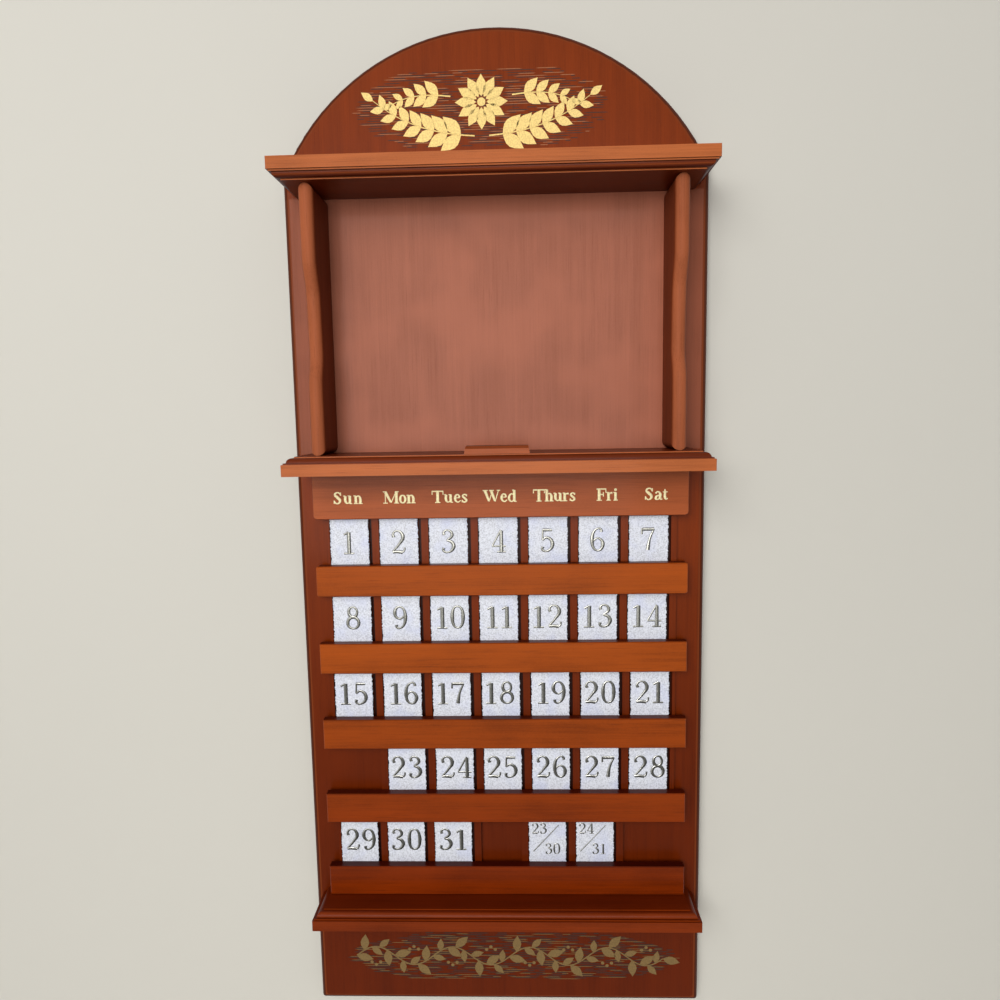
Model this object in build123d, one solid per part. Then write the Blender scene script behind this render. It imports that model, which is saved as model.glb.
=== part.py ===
"""Perpetual wall calendar in wood: an arched back board that carries three moulded shelves, a
scroll-sawn display alcove, and five rows of loose metal date tiles held behind rebated rails.

Millimetres. X runs across the front, +Z is up, and the front faces -Y. Every helper below takes a
height above the board's foot and a depth in front of the wall; place() then moves the finished
piece so that the origin lies at the middle of the board's back face.
"""
import os
from math import sqrt

from build123d import *

# ---- driving sizes: back board --------------------------------------------------------------
board_width = 294.6
board_height = 716.9
board_thick = 12.0
arch_rise = 93.2          # height of the arched top over its springing
board_corner = 2.0        # rounding of the two lower corners
edge_round = 3.2          # quarter round routed along the whole front edge
edge_ledge = 1.0          # flat ledge inside the quarter round
edge_step = 1.0           # step up from the ledge to the front face

# ---- driving sizes: shelves -----------------------------------------------------------------
shelf_width = 283.0
shelf_depth = 53.4        # top and middle shelf, in front of the board
foot_shelf_depth = 34.8   # bottom shelf, in front of the board
shelf_thick = 12.7
foot_shelf_height = 83.5  # underside of the bottom shelf over the board's foot
mould_step = 1.2          # first set-back above the fascia
mould_fillet = 1.0        # height of that first fillet
mould_crease = 1.6        # second set-back, into the crease
mould_round = 3.2         # quarter round
mould_ledge = 1.2         # ledge beyond the quarter round
mould_lip = 0.8           # last small rise to the flat face
shelf_arris = 0.5         # eased edges of the fascia

# ---- driving sizes: alcove ------------------------------------------------------------------
alcove_width = 232.4
alcove_height = 175.6
panel_thick = 10.0
panel_foot_depth = 36.8   # straight lower stretch of the panel's front edge
panel_waist_depth = 31.1  # narrowest point
panel_chest_depth = 33.2  # where the edge starts to swell again
panel_head_depth = 40.2   # straight upper stretch
panel_foot_share = 0.29   # heights of those points as shares of the alcove's height
panel_waist_share = 0.37
panel_chest_share = 0.61
panel_head_share = 0.72
panel_sweep = 22.0        # radius that rounds those points off
stop_width = 43.4         # low block that keeps a plate from sliding off the alcove floor
stop_slant = 1.0          # each end leans in by this much
stop_depth = 12.0
stop_height = 5.2
stop_bevel = 1.8
stop_setback = 0.6        # behind the front of the shelf's flat top

# ---- driving sizes: date grid ---------------------------------------------------------------
columns = 7
rail_height = 22.6
rail_proud = 11.0
rail_window = 35.1        # clear height between two rails
rail_width = 266.6
rail_arris = 0.6
rail_corner = 2.0         # rounding of the first rail's corners; the other rails are square
header_height = 34.6
header_window = 34.0      # clear height between the header strip and the first rail
header_corner = 3.0
grid_half_width = 126.6   # from the middle to the far edge of an outer divider
outer_divider_least = 2.0
divider_width = 5.2
divider_thick = 3.2
tile_width = 28.2
tile_height = 41.0
tile_thick = 2.4
tile_lean = -0.8          # a tile stands this far from the middle of its place, to the left
tile_air = 0.3            # gap between a tile's face and the rail in front of it
tile_edge = 0.4
slot_depth = 4.2          # rebate behind a rail's lip, front to back
tile_foot = 3.2           # how far a tile sits down behind the lower rail
tile_lift = 4.0           # how far a tile can rise before it meets the top of its slot
head_air = 0.5            # what is left over the tile at the top of its lift

# ---- driving sizes: fasteners and keyholes --------------------------------------------------
screw_radius = 2.0
screw_head_radius = 4.0
screw_head_depth = 2.4
screw_bite = 21.0         # how far a screw reaches into a shelf or a side panel
screw_air = 0.1           # clearance of every screw in its hole
screw_spread = 180.0      # between the two screws of a shelf
panel_screw_share = 0.5   # height of the screw in each side panel
keyhole_spread = 140.0    # between the two keyholes routed in the board's back
keyhole_height = 639.5    # middle of a keyhole's round entry over the board's foot
keyhole_rise = 11.0       # from the entry's middle up to the neck's end
keyhole_radius = 4.5      # entry, and the channel for the wall screw's head
keyhole_neck_radius = 2.5
keyhole_lip = 3.0         # wood that the screw's head hooks behind
keyhole_depth = 8.5

# ---- the dates, row by row; None is an empty place ------------------------------------------
date_rows = (
    ("01", "02", "03", "04", "05", "06", "07"),
    ("08", "09", "10", "11", "12", "13", "14"),
    ("15", "16", "17", "18", "19", "20", "21"),
    (None, "23", "24", "25", "26", "27", "28"),
    ("29", "30", "31", None, "23_30", "24_31", None),
)
# The dividers were set by hand: each row has its own middle and its own pitch.
row_middle = (-0.8, -1.3, -0.7, -0.2, -3.1)
row_pitch = (36.0, 35.9, 36.5, 36.0, 35.7)

# ---- worked out from the sizes above --------------------------------------------------------
half_board = board_width / 2
arch_radius = (half_board ** 2 + arch_rise ** 2) / (2 * arch_rise)
arch_centre = board_height - arch_radius
mould_height = mould_fillet + mould_round + mould_lip
mould_depth = mould_step + mould_crease + mould_round + mould_ledge
fascia_height = shelf_thick - mould_height
grid_foot = foot_shelf_height + shelf_thick
grid_rows = len(date_rows)
first_rail_top = grid_foot + grid_rows * rail_height + (grid_rows - 1) * rail_window
mid_shelf_height = first_rail_top + header_window + header_height
alcove_floor = mid_shelf_height + shelf_thick
top_shelf_height = alcove_floor + alcove_height
panel_middle = alcove_width / 2 + panel_thick / 2


def place(piece):
    """The piece in the part's own frame, with the origin at the middle of the back face."""
    return Pos(0, 0, -board_height / 2) * piece


def block(width, depths, heights, x=0.0):
    """A box centred on x, between two depths in front of the wall and between two heights."""
    low_depth, high_depth = depths
    low, high = heights
    centre = Pos(x, -(low_depth + high_depth) / 2, (low + high) / 2)
    return centre * Box(width, high_depth - low_depth, high - low)


def rod(x, height, radius, depths):
    """A round bar square to the wall, between two depths."""
    low_depth, high_depth = depths
    centre = Pos(x, -(low_depth + high_depth) / 2, height)
    return centre * Rot(90, 0, 0) * Cylinder(radius, high_depth - low_depth)


def countersink(x, height, wall_radius, room_radius, depths):
    """A cone square to the wall, from its radius on the wall's side to the one on the room's side."""
    low_depth, high_depth = depths
    centre = Pos(x, -(low_depth + high_depth) / 2, height)
    return centre * Rot(90, 0, 0) * Cone(wall_radius, room_radius, high_depth - low_depth)


# ---- back board -----------------------------------------------------------------------------

def board_outline(inset):
    """The board's outline drawn in by an inset, with its foot on height 0 when that is nought."""
    half = half_board - inset
    radius = arch_radius - inset
    spring = arch_centre + sqrt(radius ** 2 - half ** 2)
    crown = arch_centre + radius
    outline = [
        Line((-half, inset), (half, inset)),
        Line((half, inset), (half, spring)),
        ThreePointArc((half, spring), (0, crown), (-half, spring)),
        Line((-half, spring), (-half, inset)),
    ]
    face = make_face(outline)
    return fillet(face.vertices().sort_by(Axis.Y)[:2], board_corner)


def board_blank():
    """Arched board with a quarter round, a ledge and a small step round its front edge."""
    ledge_depth = board_thick - edge_step
    slab = extrude(Plane.XZ * board_outline(0), amount=ledge_depth)
    front_edges = slab.faces().sort_by(Axis.Y)[0].edges()
    slab = fillet(front_edges, edge_round)
    field = extrude(Plane.XZ * board_outline(edge_round + edge_ledge), amount=board_thick)
    return slab + field


def keyhole(x):
    """Keyhole routed in the back: a round entry, a narrow neck above it, and a wider channel
    behind the neck for the wall screw's head."""
    neck_end = keyhole_height + keyhole_rise

    def channel(radius, depths):
        straight = block(2 * radius, depths, (keyhole_height, neck_end), x)
        return straight + rod(x, keyhole_height, radius, depths) + rod(x, neck_end, radius, depths)

    entry = rod(x, keyhole_height, keyhole_radius, (0, keyhole_depth))
    neck = channel(keyhole_neck_radius, (0, keyhole_depth))
    return entry + neck + channel(keyhole_radius, (keyhole_lip, keyhole_depth))


def shelf_screw_places():
    """Where the long screws enter the board's back: two for each shelf, one for each panel."""
    shelf_heights = (foot_shelf_height, mid_shelf_height, top_shelf_height)
    shelves = [(side * screw_spread / 2, height + shelf_thick / 2)
               for height in shelf_heights for side in (-1, 1)]
    panel_height = alcove_floor + panel_screw_share * alcove_height
    panels = [(side * panel_middle, panel_height) for side in (-1, 1)]
    return shelves + panels


def long_screw(x, height, grow=0.0):
    """Flat-headed wood screw through the board and into the piece in front of it."""
    head = countersink(x, height, screw_head_radius + grow, screw_radius + grow,
                       (0, screw_head_depth))
    shank = rod(x, height, screw_radius + grow, (0, board_thick + screw_bite + grow))
    return head + shank


def back_board():
    board = board_blank()
    for x, height in shelf_screw_places():
        board -= long_screw(x, height, screw_air)
    for side in (-1, 1):
        board -= keyhole(side * keyhole_spread / 2)
    return board


# ---- shelves and alcove ---------------------------------------------------------------------

def shelf_layer(depth, inset, low, high):
    """One layer of a shelf, drawn in by an inset on its front and its two ends."""
    depths = (board_thick, board_thick + depth - inset)
    return block(shelf_width - 2 * inset, depths, (low, high))


def moulded_shelf(depth, height, moulding_up):
    """Shelf with a plain fascia and a stepped quarter round on its front and two ends.

    It is built up from the fascia to the flat face, and turned over where the moulding hangs
    below the fascia.
    """
    fillet_top = fascia_height + mould_fillet
    round_top = fillet_top + mould_round
    fascia = shelf_layer(depth, 0.0, 0.0, fascia_height)
    fascia = fillet(fascia.edges().filter_by(Axis.Z).group_by(Axis.Y)[0], shelf_arris)
    step = shelf_layer(depth, mould_step, fascia_height, fillet_top)
    bead = shelf_layer(depth, mould_step + mould_crease, fillet_top, round_top)
    bead = fillet(outer_top_edges(bead), mould_round * 0.98)
    lip = shelf_layer(depth, mould_depth, round_top, shelf_thick)
    shelf = fascia + step + bead + lip
    if not moulding_up:
        shelf = mirror(shelf, Plane.XY.offset(shelf_thick / 2))
    shelf = Pos(0, 0, height) * shelf
    for x, screw_height in shelf_screw_places():
        if height < screw_height < height + shelf_thick:
            shelf -= long_screw(x, screw_height, screw_air)
    return shelf


def outer_top_edges(layer):
    """The front and end edges of a layer's upper face, without the one at the board."""
    return layer.faces().sort_by(Axis.Z)[-1].edges().sort_by(Axis.Y)[:3]


def side_panel(side):
    """Alcove side whose front edge is scroll-sawn in a long S and rounded to a half circle."""
    wall = -board_thick

    def edge_point(depth, share):
        return (wall - depth, alcove_floor + share * alcove_height)

    front_edge = FilletPolyline(
        edge_point(panel_foot_depth, 0.0),
        edge_point(panel_foot_depth, panel_foot_share),
        edge_point(panel_waist_depth, panel_waist_share),
        edge_point(panel_chest_depth, panel_chest_share),
        edge_point(panel_head_depth, panel_head_share),
        edge_point(panel_head_depth, 1.0),
        radius=panel_sweep,
    )
    inner_edges = Polyline(front_edge @ 1, (wall, top_shelf_height), (wall, alcove_floor),
                           front_edge @ 0)
    outline = make_face([front_edge, inner_edges])
    panel = extrude(Plane.YZ * outline, amount=panel_thick / 2, both=True)
    front_edges = [edge for edge in panel.edges()
                   if edge.center().Y < wall - panel_waist_depth / 2 and abs(edge.center().X) > 0.1]
    panel = Pos(side * panel_middle, 0, 0) * fillet(front_edges, panel_thick * 0.49)
    for x, height in shelf_screw_places():
        if x * side > 0 and alcove_floor < height < top_shelf_height:
            panel -= long_screw(x, height, screw_air)
    return panel


def plate_stop():
    """Low block with leaning ends and a bevelled front edge, at the front of the alcove floor."""
    front = board_thick + shelf_depth - mould_depth - stop_setback
    half = stop_width / 2
    profile = make_face(Polyline(
        (-half, alcove_floor), (half, alcove_floor),
        (half - stop_slant, alcove_floor + stop_height),
        (-half + stop_slant, alcove_floor + stop_height), close=True))
    stop = Pos(0, stop_depth - front, 0) * extrude(Plane.XZ * profile, amount=stop_depth)
    front_top = stop.faces().sort_by(Axis.Z)[-1].edges().sort_by(Axis.Y)[0]
    return chamfer(front_top, stop_bevel)


# ---- date grid ------------------------------------------------------------------------------

def rail_top(row):
    """Top of the rail under a row, counted from 0 at the top."""
    return first_rail_top - row * (rail_height + rail_window)


def window_height(row):
    return header_window if row == 0 else rail_window


def head_slot(row):
    """Height of the slot over a row: it takes the tile's head at the top of the tile's lift."""
    return tile_height - tile_foot - window_height(row) + tile_lift + head_air


def place_middle(row, column):
    """Middle of a tile's place, across the grid."""
    return row_middle[row] + (column - (columns - 1) / 2) * row_pitch[row]


def rail_bar(low, high, corner, foot_slot, head_slot_height):
    """Flat bar with a rebate along its upper back edge, its lower back edge, or both; its four
    corners are rounded, seen from the front, where a corner radius is given."""
    depths = (board_thick, board_thick + rail_proud)
    bar = block(rail_width, depths, (low, high))
    if corner:
        bar = fillet(bar.edges().filter_by(Axis.Y), corner)
    bar = chamfer(bar.faces().sort_by(Axis.Y)[0].edges(), rail_arris)
    slot = (board_thick, board_thick + slot_depth)
    if foot_slot:
        bar -= block(rail_width, slot, (high - foot_slot, high))
    if head_slot_height:
        bar -= block(rail_width, slot, (low, low + head_slot_height))
    return bar


def rail(row):
    """The rail under a row: the lowest one stands on the bottom shelf and has no lower rebate."""
    high = rail_top(row)
    lower_slot = head_slot(row + 1) if row + 1 < grid_rows else 0.0
    corner = rail_corner if row == 0 else 0.0
    return rail_bar(high - rail_height, high, corner, tile_foot, lower_slot)


def header_strip():
    low = first_rail_top + header_window
    return rail_bar(low, low + header_height, header_corner, 0.0, head_slot(0))


def dividers(row):
    """The strips between the tiles of one row, from slot floor to slot ceiling.

    An outer strip fills up to the edge of the grid; next to an empty place there is none.
    """
    heights = (rail_top(row) - tile_foot, rail_top(row) + window_height(row) + head_slot(row))
    depths = (board_thick, board_thick + divider_thick)
    half_place = (row_pitch[row] - divider_width) / 2
    spans = []
    if date_rows[row][0]:
        inner = place_middle(row, 0) - half_place
        spans.append((min(-grid_half_width, inner - outer_divider_least), inner))
    for column in range(columns - 1):
        start = place_middle(row, column) + half_place
        spans.append((start, start + divider_width))
    if date_rows[row][-1]:
        inner = place_middle(row, columns - 1) + half_place
        spans.append((inner, max(grid_half_width, inner + outer_divider_least)))
    return Compound([block(end - start, depths, heights, (start + end) / 2)
                     for start, end in spans])


def tile(row, column):
    """One loose date tile, standing in its slot with its face just behind the rail's lip."""
    x = place_middle(row, column) + tile_lean
    face_depth = board_thick + slot_depth - tile_air
    low = rail_top(row) - tile_foot
    plate = block(tile_width, (face_depth - tile_thick, face_depth), (low, low + tile_height), x)
    return chamfer(plate.faces().sort_by(Axis.Y)[0].edges(), tile_edge)


# ---- all pieces -----------------------------------------------------------------------------

pieces = {
    "back_board": back_board(),
    "top_shelf": moulded_shelf(shelf_depth, top_shelf_height, False),
    "mid_shelf": moulded_shelf(shelf_depth, mid_shelf_height, True),
    "bottom_shelf": moulded_shelf(foot_shelf_depth, foot_shelf_height, True),
    "side_panel_left": side_panel(-1),
    "side_panel_right": side_panel(1),
    "plate_stop": plate_stop(),
    "header_strip": header_strip(),
    "shelf_screws": Compound([long_screw(x, height) for x, height in shelf_screw_places()]),
}
for row, dates in enumerate(date_rows):
    pieces[f"rail_{row + 1}"] = rail(row)
    pieces[f"dividers_row_{row + 1}"] = dividers(row)
    for column, date in enumerate(dates):
        if date:
            pieces[f"tile_{date}"] = tile(row, column)

os.makedirs("parts", exist_ok=True)
for node, piece in pieces.items():
    export_step(place(piece), f"parts/{node}.step")
print(f"{len(pieces)} pieces, arch radius {arch_radius:.1f} mm, rail width {rail_width:.1f} mm")
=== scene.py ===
"""Perpetual wall calendar: wood finishes, cast date tiles, lettering and gold print.

Metres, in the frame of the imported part: +X to the right, +Z up, the front faces -Y and the back of
the board lies on y = 0.
"""
import math
import random

import bpy
from mathutils import Matrix, Vector


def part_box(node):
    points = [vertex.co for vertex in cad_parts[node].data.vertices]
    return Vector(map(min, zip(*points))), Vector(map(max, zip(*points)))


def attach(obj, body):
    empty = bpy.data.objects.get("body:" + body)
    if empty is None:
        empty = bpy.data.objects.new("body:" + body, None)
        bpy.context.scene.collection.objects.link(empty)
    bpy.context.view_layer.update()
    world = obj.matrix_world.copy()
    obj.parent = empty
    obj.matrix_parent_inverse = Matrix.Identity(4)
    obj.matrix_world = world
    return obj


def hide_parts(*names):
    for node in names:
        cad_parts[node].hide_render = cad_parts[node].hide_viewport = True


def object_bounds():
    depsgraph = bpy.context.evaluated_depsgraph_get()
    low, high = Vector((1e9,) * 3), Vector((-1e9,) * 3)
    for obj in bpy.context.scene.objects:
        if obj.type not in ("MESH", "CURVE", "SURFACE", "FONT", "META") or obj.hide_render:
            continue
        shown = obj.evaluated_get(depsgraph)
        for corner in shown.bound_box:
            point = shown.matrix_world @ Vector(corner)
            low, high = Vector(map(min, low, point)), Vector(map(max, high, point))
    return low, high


bl_info = {
    "name": "Perpetual wall calendar",
    "version": (1, 0, 0),
    "blender": (4, 5, 0),
    "location": "3D View > Sidebar > Calendar",
    "description": "Finishes, date tiles, lettering and gold print of a wooden perpetual calendar",
    "category": "Object",
}

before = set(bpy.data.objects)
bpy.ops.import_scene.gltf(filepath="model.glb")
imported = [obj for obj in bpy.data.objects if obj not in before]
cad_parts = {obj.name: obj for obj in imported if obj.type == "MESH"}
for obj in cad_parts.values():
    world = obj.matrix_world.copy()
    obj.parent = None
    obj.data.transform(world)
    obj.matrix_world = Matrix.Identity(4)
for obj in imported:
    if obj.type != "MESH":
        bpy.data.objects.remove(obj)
cad_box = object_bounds()

CASE = "calendar_case"
BOARD_FACE = -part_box("back_board")[0].y  # depth of the board's front
MM = 0.001
LEDGE = -11 * MM  # where on Y the ledge of the board's routed edge lies
FOOT = cad_box[0].z  # foot of the board
TILE_NODES = sorted(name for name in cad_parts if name.startswith("tile_"))
ROW_COUNT = 5
RAILS = [f"rail_{row + 1}" for row in range(ROW_COUNT)]
DIVIDERS = [f"dividers_row_{row + 1}" for row in range(ROW_COUNT)]
GAP_SHADE = (0.10, 0.03, 0.02)  # painted shade: dark brown in the gaps beside the tiles
LEDGE_HIGHLIGHT = (0.50, 0.23, 0.09)  # painted highlight: an orange brown line along the board's routed edge
EDGE_ROUND_BROWN = (0.31, 0.16, 0.09)  # dull brown of the round outside that line
BOARD_SHADE_FADE = (-0.22, 0.12)  # heights between which the colour darkens towards the bottom, as painted shade where less light falls, lowest first
RAIL_SHADE_FADE = (-0.27, -0.04)
SHELF_SHADE_FADE = (-0.25, 0.12)
# Painted shade in a shelf's moulding, in millimetres from its wide flat: from, to, and the factor.
UPWARD_SHADE = ((-0.2, 0.2, 0.4), (0.9, 4.7, 0.3))
DOWNWARD_SHADE = ((0.9, 3.9, 0.58), (2.7, 3.9, 0.58))
# Runs of neighbouring tiles: the first, the last, and how many places apart they are.
TILE_RUNS = (("tile_01", "tile_07", 6), ("tile_08", "tile_14", 6), ("tile_15", "tile_21", 6),
             ("tile_23", "tile_28", 5), ("tile_29", "tile_31", 2), ("tile_23_30", "tile_24_31", 1))
# What the header says, and where each name starts and ends across it, in millimetres.
WEEKDAYS = {"Sun": (-118.8, -97.3), "Mon": (-83.0, -59.4), "Tues": (-48.0, -22.3),
            "Wed": (-11.7, 12.4), "Thurs": (23.8, 54.1), "Fri": (68.2, 83.7), "Sat": (101.9, 118.7)}


# ---- settings a user would change ----

def length_property(name, description, default):
    return bpy.props.FloatProperty(name=name, description=description, default=default,
                                   min=0.0, unit="LENGTH")


def colour_property(name, description, red, green, blue):
    """A colour given as it looks on screen, in steps of 255."""
    return bpy.props.FloatVectorProperty(name=name, description=description, subtype="COLOR",
                                         size=3, min=0.0, max=1.0,
                                         default=(red / 255, green / 255, blue / 255))


class CalendarWood(bpy.types.PropertyGroup):
    """Stain colours of the wooden case, each at its highest and at its lowest place; the lowest is
    darker as painted shade where less light falls.
    """
    board: colour_property("Board", "Stain of the back board at the arch", 132, 52, 8)
    board_low: colour_property("Board, base", "Stain of the back board at the base", 102, 33, 0)
    # The alcove's paler colour is a painted sheen.
    alcove: colour_property("Alcove back", "Paler stain inside the alcove", 169, 101, 77)
    shelf: colour_property("Shelves", "Stain of the top and middle shelves", 192, 106, 57)
    shelf_low: colour_property("Shelves, base", "Stain of the bottom shelf", 128, 47, 5)
    header: colour_property("Header", "Stain of the header strip", 176, 90, 48)
    rail: colour_property("Rails", "Stain of the first rail", 168, 77, 18)
    rail_low: colour_property("Rails, base", "Stain of the lowest rail", 130, 44, 0)
    panel: colour_property("Side panels", "Stain of the alcove's side panels", 168, 92, 58)


class CalendarTiles(bpy.types.PropertyGroup):
    """Sizes and colours of the date tiles."""
    ground: colour_property("Ground", "Stippled ground of a tile", 226, 230, 240)
    numeral: colour_property("Numeral", "Polished raised numerals", 168, 168, 160)
    # Patina and painted shade on the numerals' flanks.
    patina: colour_property("Patina", "Dark patina at the foot of the numerals", 58, 57, 54)
    numeral_height: length_property("Numeral height", "Height of a full-size numeral", 17.3 * MM)
    numeral_base: length_property("Numeral base", "Foot of the numerals over the tile's foot",
                                  12.2 * MM)
    cell: length_property("Stipple", "Spacing of the stippled ground", 0.62 * MM)
    raggedness: length_property("Ragged edge", "Depth of the nicks along a tile's edge", 0.40 * MM)


class CalendarPrint(bpy.types.PropertyGroup):
    """Lettering and gold print."""
    gold: colour_property("Gold", "Gold print of the arch", 244, 214, 136)
    dull_gold: colour_property("Dull gold", "Gold print of the base", 132, 106, 62)
    copper: colour_property("Copper", "Light hatching", 160, 104, 66)
    dark: colour_property("Dark", "Dark hatching", 44, 22, 10)
    cream: colour_property("Cream", "Weekday lettering", 255, 236, 186)
    cap_height: length_property("Capital height", "Height of the weekday capitals", 8.6 * MM)
    baseline: length_property("Baseline", "Foot of the lettering over the board's foot",
                              394.8 * MM)
    thickness: length_property("Thickness", "Thickness of a printed layer", 0.12 * MM)


# ---- finishes ----

def paint(colour, factor=1.0):
    """The linear values a shader takes, for a colour as it looks on screen times a factor."""
    seen = [min(1.0, channel * factor) for channel in colour]
    return (*(c / 12.92 if c <= 0.04045 else ((c + 0.055) / 1.055) ** 2.4 for c in seen), 1.0)


class Value:
    """A socket in a node tree; arithmetic on it adds Math nodes."""

    def __init__(self, nodes, socket):
        self.nodes = nodes
        self.socket = socket

    def math(self, operation, *terms):
        return self.nodes.node("ShaderNodeMath", {"operation": operation}, dict(enumerate(terms)))

    def __add__(self, other):
        return self.math("ADD", self, other)

    __radd__ = __add__

    def __sub__(self, other):
        return self.math("SUBTRACT", self, other)

    def __rsub__(self, other):
        return self.math("SUBTRACT", other, self)

    def __mul__(self, other):
        return self.math("MULTIPLY", self, other)

    __rmul__ = __mul__

    def size(self):
        return self.math("ABSOLUTE", self)


class Nodes:
    """Adds nodes to a material or to the world."""

    def __init__(self, owner, coordinates):
        owner.use_nodes = True
        self.tree = owner.node_tree
        self.place = self.node("ShaderNodeTexCoord", {}, {}, coordinates)

    def node(self, kind, settings, inputs, output=0):
        """Adds a node: its settings first, then the values or links of its sockets."""
        made = self.tree.nodes.new(kind)
        for key, value in settings.items():
            if key == "stops":
                self.set_stops(made.color_ramp, value)
            else:
                setattr(made, key, value)
        for key, value in inputs.items():
            self.feed(made.inputs[key], value)
        return Value(self, made.outputs[output])

    def set_stops(self, ramp, stops):
        while len(ramp.elements) < len(stops):
            ramp.elements.new(1.0)
        for element, (position, colour) in zip(ramp.elements, stops):
            element.position = position
            element.color = colour

    def feed(self, socket, value):
        if isinstance(value, Value):
            self.tree.links.new(value.socket, socket)
        else:
            socket.default_value = value

    def part(self, vector, letter):
        return self.node("ShaderNodeSeparateXYZ", {}, {"Vector": vector}, letter)

    def axis(self, letter):
        return self.part(self.place, letter)

    def normal(self, letter):
        return self.part(self.node("ShaderNodeTexCoord", {}, {}, "Normal"), letter)

    def facing(self, letter, low, high):
        """1 where the surface faces an axis: its normal's share of that axis, low to high."""
        return self.step(self.normal(letter), low, high)

    def noise(self, scales, detail, roughness, shift):
        """Noise whose features are one over each scale long, in metres."""
        mapped = self.node("ShaderNodeMapping", {}, {"Vector": self.place, "Scale": scales,
                                                     "Location": (shift, shift, shift)})
        return self.node("ShaderNodeTexNoise", {}, {"Vector": mapped, "Scale": 1.0,
                                                    "Detail": detail, "Roughness": roughness})

    def grain(self, size, detail, roughness=0.5, shift=0.0):
        """Noise whose features are a size across in every direction."""
        return self.noise((1 / size,) * 3, detail, roughness, shift)

    def fibres(self, along, across, length, detail, roughness, shift):
        """Noise whose features are long along X, Y or Z."""
        scales = [1 / across] * 3
        scales["XYZ".index(along)] = 1 / length
        return self.noise(scales, detail, roughness, shift)

    def step(self, value, low, high):
        """0 below low, 1 above high, smooth between; the other way round if low is above high."""
        return self.node("ShaderNodeMapRange", {"interpolation_type": "SMOOTHSTEP"},
                         {"Value": value, "From Min": low, "From Max": high}, "Result")

    def ramp(self, value, stops):
        return self.node("ShaderNodeValToRGB", {"stops": stops}, {"Fac": value}, "Color")

    def mix(self, factor, first, second, blend="MIX"):
        return self.node("ShaderNodeMix", {"data_type": "RGBA", "blend_type": blend},
                         {0: factor, 6: first, 7: second}, 2)

    def bump(self, height, strength, distance):
        return self.node("ShaderNodeBump", {}, {"Height": height, "Strength": strength,
                                                "Distance": distance}, "Normal")


class Finish(Nodes):
    """A material built node by node on its principled shader."""

    def __init__(self, name):
        self.material = bpy.data.materials.new(name)
        super().__init__(self.material, "Object")
        self.shader = self.tree.nodes["Principled BSDF"]

    def set(self, **inputs):
        """Sets sockets of the shader; an underscore in a name stands for a space."""
        for key, value in inputs.items():
            self.feed(self.shader.inputs[key.replace("_", " ")], value)


def wood_colour(finish, high, low, shade_fade, along, shift, contrast=1.0):
    """Stained wood: broad figure, cloudy stain, fine fibres and dark pores, the stain darker towards
    the bottom as painted shade.
    """
    figure = finish.fibres(along, 6 * MM, 240 * MM, 5.0, 0.6, shift)
    cloud = finish.fibres(along, 30 * MM, 60 * MM, 2.0, 0.5, shift + 3.1)
    fibre = finish.fibres(along, 0.9 * MM, 50 * MM, 4.0, 0.6, shift + 7.7)
    mottle = finish.grain(0.9 * MM, 3.0, 0.7, shift + 5.9)
    tone = 0.33 * figure + 0.28 * cloud + 0.24 * fibre + 0.15 * mottle
    # The stain darkens towards the bottom between the fade's heights: painted shade where less light
    # falls.
    stain = finish.mix(finish.step(finish.axis("Z"), *shade_fade), paint(low), paint(high))
    spread = 0.13
    light = 1 - 0.32 * contrast
    streaks = finish.ramp(tone, [(0.5 - spread, (light, light * 0.97, light * 0.93, 1.0)),
                                 (0.5, (0.86, 0.86, 0.86, 1.0)),
                                 (0.5 + spread, (1.0, 1.0, 1.0, 1.0))])
    body = finish.mix(1.0, stain, streaks, "MULTIPLY")
    pores = finish.step(finish.fibres(along, 0.5 * MM, 22 * MM, 2.0, 0.5, shift + 1.3), 0.58, 0.74)
    dark = finish.mix(1.0, stain, (0.3, 0.25, 0.22, 1.0), "MULTIPLY")
    return finish.mix(0.3 * contrast * pores, body, dark), fibre, pores


def varnish(finish, fibre, pores, roughness=0.3, coat=0.05):
    """Glossy varnish that follows the fibres a little."""
    relief = 0.5 * fibre - 0.5 * pores
    finish.set(Roughness=roughness + 0.14 * fibre, Normal=finish.bump(relief, 0.3, 0.1 * MM))
    finish.set(Specular_IOR_Level=0.11, Coat_Weight=coat, Coat_Roughness=0.1)


def darker_where(finish, mask, colour, factor):
    """The colour where the mask is 0; darker by a factor, and the redder for it, where it is 1."""
    dark = finish.mix(1.0, colour, (factor, factor ** 1.5, factor ** 2, 1.0), "MULTIPLY")
    return finish.mix(mask, colour, dark)


def between(finish, value, low, high, soft):
    """1 where a value lies between two limits, fading out over a soft width at each."""
    return finish.step(value, low - soft, low) * finish.step(value, high + soft, high)


def case_wood(name, high, low, shade_fade, along, shift, contrast=1.0, sides=0.62, masks=(),
              tops=1.0, roughness=0.3, coat=0.05):
    """Stained wood of rails, shelves and panels, with painted shade wherever it doesn't face the
    front:
    on its sides, on its undersides, and by a factor on its tops.

    Each mask is a height band of painted shade: its lowest and highest place, how softly
    it ends, and its factor.
    """
    finish = Finish(name)
    body, fibre, pores = wood_colour(finish, high, low, shade_fade, along, shift, contrast)
    varnish(finish, fibre, pores, roughness, coat)
    # Painted shade on faces that don't face the front, on undersides, and by a factor on tops.
    body = darker_where(finish, finish.facing("Y", -0.7, -0.2), body, sides)
    body = darker_where(finish, finish.facing("Z", -0.3, -0.8), body, 0.4)
    body = darker_where(finish, finish.facing("Z", 0.5, 0.9), body, tops)
    # Painted shade in height bands.
    for bottom, top, soft, factor in masks:
        band = between(finish, finish.axis("Z"), bottom, top, soft)
        body = darker_where(finish, band, body, factor)
    finish.set(Base_Color=body)
    return finish.material


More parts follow.
